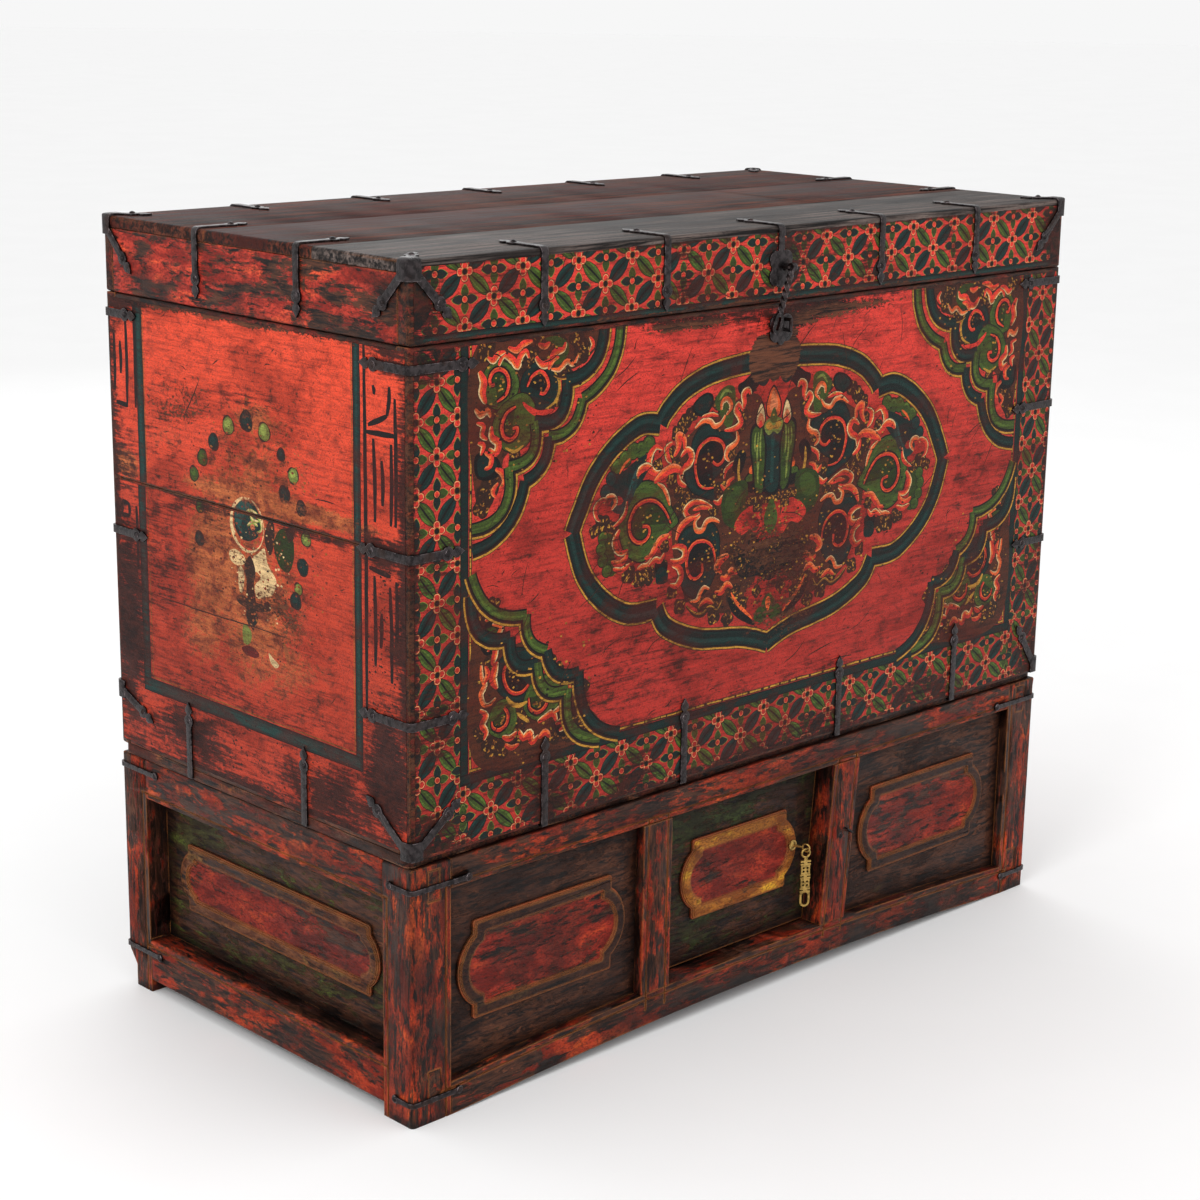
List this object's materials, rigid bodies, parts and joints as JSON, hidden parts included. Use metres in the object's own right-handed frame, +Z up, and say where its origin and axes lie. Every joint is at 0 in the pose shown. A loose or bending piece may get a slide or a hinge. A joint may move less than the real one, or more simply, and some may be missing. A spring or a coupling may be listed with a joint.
{
  "type": "storage chest",
  "caption": "Large painted wooden trunk with iron straps, a hinged lid and a twisted hasp, on a low panelled cabinet with a pivoted door.",
  "frame": {"origin": "middle of the bounding box, on the floor under the feet", "axes": "+X to the right seen from the front, +Y to the back, +Z up; the front with the hasp and the door faces -Y"},
  "size_m": [1.1602, 0.5996, 0.9934],
  "materials": {
    "red_paint": "old red paint, worn to dark brown wood",
    "dark_wood": "black-brown painted wood, worn",
    "brown_wood": "bare oiled wood",
    "ochre_paint": "ochre and red paint, worn",
    "iron": "forged iron, dark and burnished",
    "brass": "dull old brass"
  },
  "bodies": {
    "carcase": {"post_front_left": "red_paint", "post_front_right": "red_paint", "post_back_left": "red_paint", "post_back_right": "red_paint", "front_top_rail": "red_paint", "front_bottom_rail": "red_paint", "left_mullion": "red_paint", "right_mullion": "red_paint", "side_top_rails": "red_paint", "side_bottom_rails": "red_paint", "back_top_rail": "dark_wood", "back_bottom_rail": "dark_wood", "front_left_panel": "dark_wood", "front_right_panel": "dark_wood", "left_side_panel": "dark_wood", "right_side_panel": "dark_wood", "back_panel": "dark_wood", "front_plaques": "red_paint", "side_plaques": "red_paint", "cabinet_floor": "brown_wood", "cabinet_top_boards": "brown_wood", "cabinet_straps": "iron", "cabinet_nails": "iron", "mullion_staple": "iron", "trunk_bottom_board": "brown_wood", "trunk_front_board": "red_paint", "trunk_back_board": "red_paint", "trunk_left_upper_board": "red_paint", "trunk_left_lower_board": "red_paint", "trunk_right_upper_board": "red_paint", "trunk_right_lower_board": "red_paint", "trunk_corner_straps": "iron", "trunk_corner_braces": "iron", "trunk_bottom_straps": "iron", "trunk_nails": "iron", "trunk_hinge_leaves": "iron", "hinge_pins": "iron", "trunk_hasp_plate": "iron", "trunk_hasp_staple": "iron"},
    "lid": {"lid_front_board": "dark_wood", "lid_middle_board": "brown_wood", "lid_back_board": "brown_wood", "lid_front_rail": "red_paint", "lid_back_rail": "red_paint", "lid_left_rail": "red_paint", "lid_right_rail": "red_paint", "lid_edge_straps": "iron", "lid_corner_braces": "iron", "lid_nails": "iron", "lid_hinge_leaves": "iron", "lid_hasp_plate": "iron", "lid_hasp_staple": "iron"},
    "hasp": {"hasp": "iron"},
    "door": {"door_board": "dark_wood", "door_plaque": "ochre_paint", "pull_pin": "brass"},
    "pendant": {"pull_pendant": "brass"}
  },
  "joints": [
    {"name": "lid_hinge", "type": "hinge", "parent": "carcase", "child": "lid", "pos_m": [0, 0.29485, 0.89715], "axis": [-1, 0, 0], "range_deg": [0, 105]},
    {"name": "hasp_swing", "type": "hinge", "parent": "lid", "child": "hasp", "pos_m": [0.012, -0.29445, 0.9393], "axis": [-1, 0, 0], "range_deg": [-3, 150]},
    {"name": "door_pivot", "type": "hinge", "parent": "carcase", "child": "door", "pos_m": [-0.1495, -0.24545, 0.1685], "axis": [0, 0, -1], "range_deg": [0, 75]},
    {"name": "pull_swing", "type": "hinge", "parent": "door", "child": "pendant", "pos_m": [0.09511, -0.27977, 0.1745], "axis": [-0.9659, -0.2588, 0], "range_deg": [-6, 80]}
  ]
}
